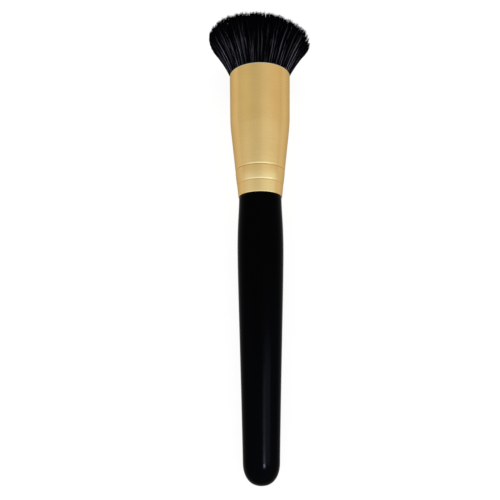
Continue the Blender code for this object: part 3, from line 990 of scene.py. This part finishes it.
# %% Colours of the tent: angles in degrees and what stands there
TENT_WALL = (
    (-100, "#898980"),
    (-50, "#909189"),
    (-23, "#888A85"),
    (30, "#939391"),
    (62, "#95918A"),
    (100, "#89847D"),
)
TENT_WINDOW = (
    (-100, "#959EA9"),
    (-62, "#B1C0EA"),
    (-28, "#ACC2E5"),
    (14, "#AEC9F3"),
    (56, "#B8DBFB"),
    (100, "#979699"),
)
TENT_ALONG = (
    (-2, "#D0D0D0"),
    (12, "#CDCDCD"),
    (28, "#D0D0D0"),
    (42, "#CBD6ED"),
    (58, "#CBD6ED"),
    (66, "#202020"),
)
TENT_STRENGTH = 5.29
WINDOW_LEAN = 0.22
WINDOW_GONE, WINDOW_FULL = 0.25, 0.02
AMBIENT_LIGHT = (0.80, 0.80, 0.80, 1.0)
WHITE = (1.0, 1.0, 1.0, 1.0)
print("stops in the tent's ramps:", len(TENT_WALL), len(TENT_WINDOW), len(TENT_ALONG))

# %% World
world = bpy.data.worlds.new("light_tent")
bpy.context.scene.world = world
world.use_nodes = True
sky = world.node_tree
direction = add_node(sky, "ShaderNodeTexCoord").outputs["Generated"]
parts = add_node(sky, "ShaderNodeSeparateXYZ", {}, {"Vector": direction}).outputs
round_brush = add_node(sky, "ShaderNodeMath", {"operation": "ARCTAN2"}, {0: parts["X"], 1: parts["Z"]})
round_place = add_node(
    sky,
    "ShaderNodeMapRange",
    {"From Min": -math.pi, "From Max": math.pi},
    {"Value": round_brush.outputs[0]},
)
rise_angle = add_node(sky, "ShaderNodeMath", {"operation": "ARCSINE"}, {0: parts["Y"]})
along_place = add_node(
    sky,
    "ShaderNodeMapRange",
    {"From Min": -math.pi, "From Max": math.pi},
    {"Value": rise_angle.outputs[0]},
)


def add_tent_ramp(table, place):
    """A colour ramp over an angle from -180 to 180 degrees, from a table of angles and colours."""
    ramp = add_node(sky, "ShaderNodeValToRGB", {}, {"Fac": place.outputs["Result"]})
    ramp.color_ramp.interpolation = "EASE"
    stops = ramp.color_ramp.elements
    while len(stops) < len(table):
        stops.new(0.5)
    for stop, (angle, _) in zip(stops, table):
        stop.position = 0.5 + angle / 360
    for stop, (_, colour) in zip(stops, table):
        stop.color = linear_colour(colour)
    return ramp.outputs["Color"]


window_edge = add_node(
    sky, "ShaderNodeMath", {"operation": "MULTIPLY_ADD", 1: WINDOW_LEAN}, {0: parts["Z"], 2: parts["Y"]}
)
towards_handle = add_node(
    sky,
    "ShaderNodeMapRange",
    {"interpolation_type": "SMOOTHSTEP", "From Min": WINDOW_GONE, "From Max": WINDOW_FULL},
    {"Value": window_edge.outputs[0]},
)
tent_wall = add_tent_ramp(TENT_WALL, round_place)
tent_window = add_tent_ramp(TENT_WINDOW, round_place)
tent = add_node(
    sky,
    "ShaderNodeMix",
    {"data_type": "RGBA"},
    {0: towards_handle.outputs["Result"], 6: tent_wall, 7: tent_window},
)
shaded = add_node(
    sky,
    "ShaderNodeVectorMath",
    {"operation": "MULTIPLY"},
    {0: tent.outputs[2], 1: add_tent_ramp(TENT_ALONG, along_place)},
)
mirrored = add_node(
    sky, "ShaderNodeVectorMath", {"operation": "SCALE", "Scale": TENT_STRENGTH}, {0: shaded.outputs[0]}
)
sky_path = add_node(sky, "ShaderNodeLightPath")
lit_or_mirrored = add_node(
    sky,
    "ShaderNodeMix",
    {"data_type": "RGBA", 6: AMBIENT_LIGHT},
    {0: sky_path.outputs["Is Glossy Ray"], 7: mirrored.outputs[0]},
)
sky_colour = add_node(
    sky,
    "ShaderNodeMix",
    {"data_type": "RGBA", 7: WHITE},
    {0: sky_path.outputs["Is Camera Ray"], 6: lit_or_mirrored.outputs[2]},
)
sky.links.new(sky_colour.outputs[2], sky.nodes["Background"].inputs["Color"])
sky.nodes["Background"].inputs["Strength"].default_value = 1.0
print("world:", world.name, "with", len(sky.nodes), "nodes")

# %% [markdown]
# ## Lamps
#
# A weak, broad softbox over the right side models the whole brush. Everything else is a small lamp
# that is flagged off from all but one thing, which light linking does here. Three lie over the
# handle: a long strip and a wide wash for the streak along it, and a small, strong one for the light
# at its round end. Two stand low at the sides of the tuft, violet on the left and warm on the right,
# so that the bristles there catch more light than those that face the camera.

# %% Softboxes and flagged lamps
LAMP_DISTANCE = 0.70
COOL_WHITE = (0.82, 0.92, 1.20)
VIOLET_WHITE = (0.98, 0.94, 1.16)
WARM_WHITE = (1.05, 1.00, 0.95)


def add_softbox(name, side_angle, end_angle, width, length, brightness, colour=COOL_WHITE):
    """A lamp aimed at the brush. Its angles lean from straight over it to the right and to the handle."""
    lamp_data = bpy.data.lights.new(name, "AREA")
    lamp_data.shape = "RECTANGLE"
    lamp_data.size = 2 * LAMP_DISTANCE * math.tan(math.radians(width / 2))
    lamp_data.size_y = 2 * LAMP_DISTANCE * math.tan(math.radians(length / 2))
    lamp_data.color = colour
    lamp_data.energy = brightness * math.pi * lamp_data.size * lamp_data.size_y
    lamp = bpy.data.objects.new(name, lamp_data)
    side, end = math.radians(side_angle), math.radians(end_angle)
    towards = Vector((math.sin(side), -math.cos(side) * math.cos(end), -math.sin(end) * math.cos(side)))
    stand = towards.to_track_quat("Z", "Y").to_matrix().to_4x4()
    stand.translation = Vector((0.0, 0.0, AIM_HEIGHT)) + towards * LAMP_DISTANCE
    lamp.matrix_world = BRUSH @ stand
    bpy.context.scene.collection.objects.link(lamp)
    return lamp


def flag_off(lamp, lit):
    """Lets a lamp light only the pieces in a list, as a flag in front of a real lamp does."""
    group = bpy.data.collections.new(f"lit_by_{lamp.name}")
    for piece in lit:
        group.objects.link(piece)
    lamp.light_linking.receiver_collection = group


add_softbox("key_softbox", 25.0, 0.0, 40.0, 60.0, 0.10)
flag_off(add_softbox("handle_strip", 16.0, 11.6, 14.0, 12.4, 11.0), [handle])
flag_off(add_softbox("handle_wash", 36.0, 10.8, 30.0, 13.5, 7.6), [handle])
flag_off(add_softbox("handle_spot", 16.0, 19.2, 8.0, 4.6, 470.0), [handle])
tuft = [roots, *tuft_sections]
flag_off(add_softbox("left_tuft_lamp", -76.0, 0.0, 8.0, 16.0, 42.0, VIOLET_WHITE), tuft)
flag_off(add_softbox("right_tuft_lamp", 76.0, 0.0, 8.0, 16.0, 16.0, WARM_WHITE), tuft)
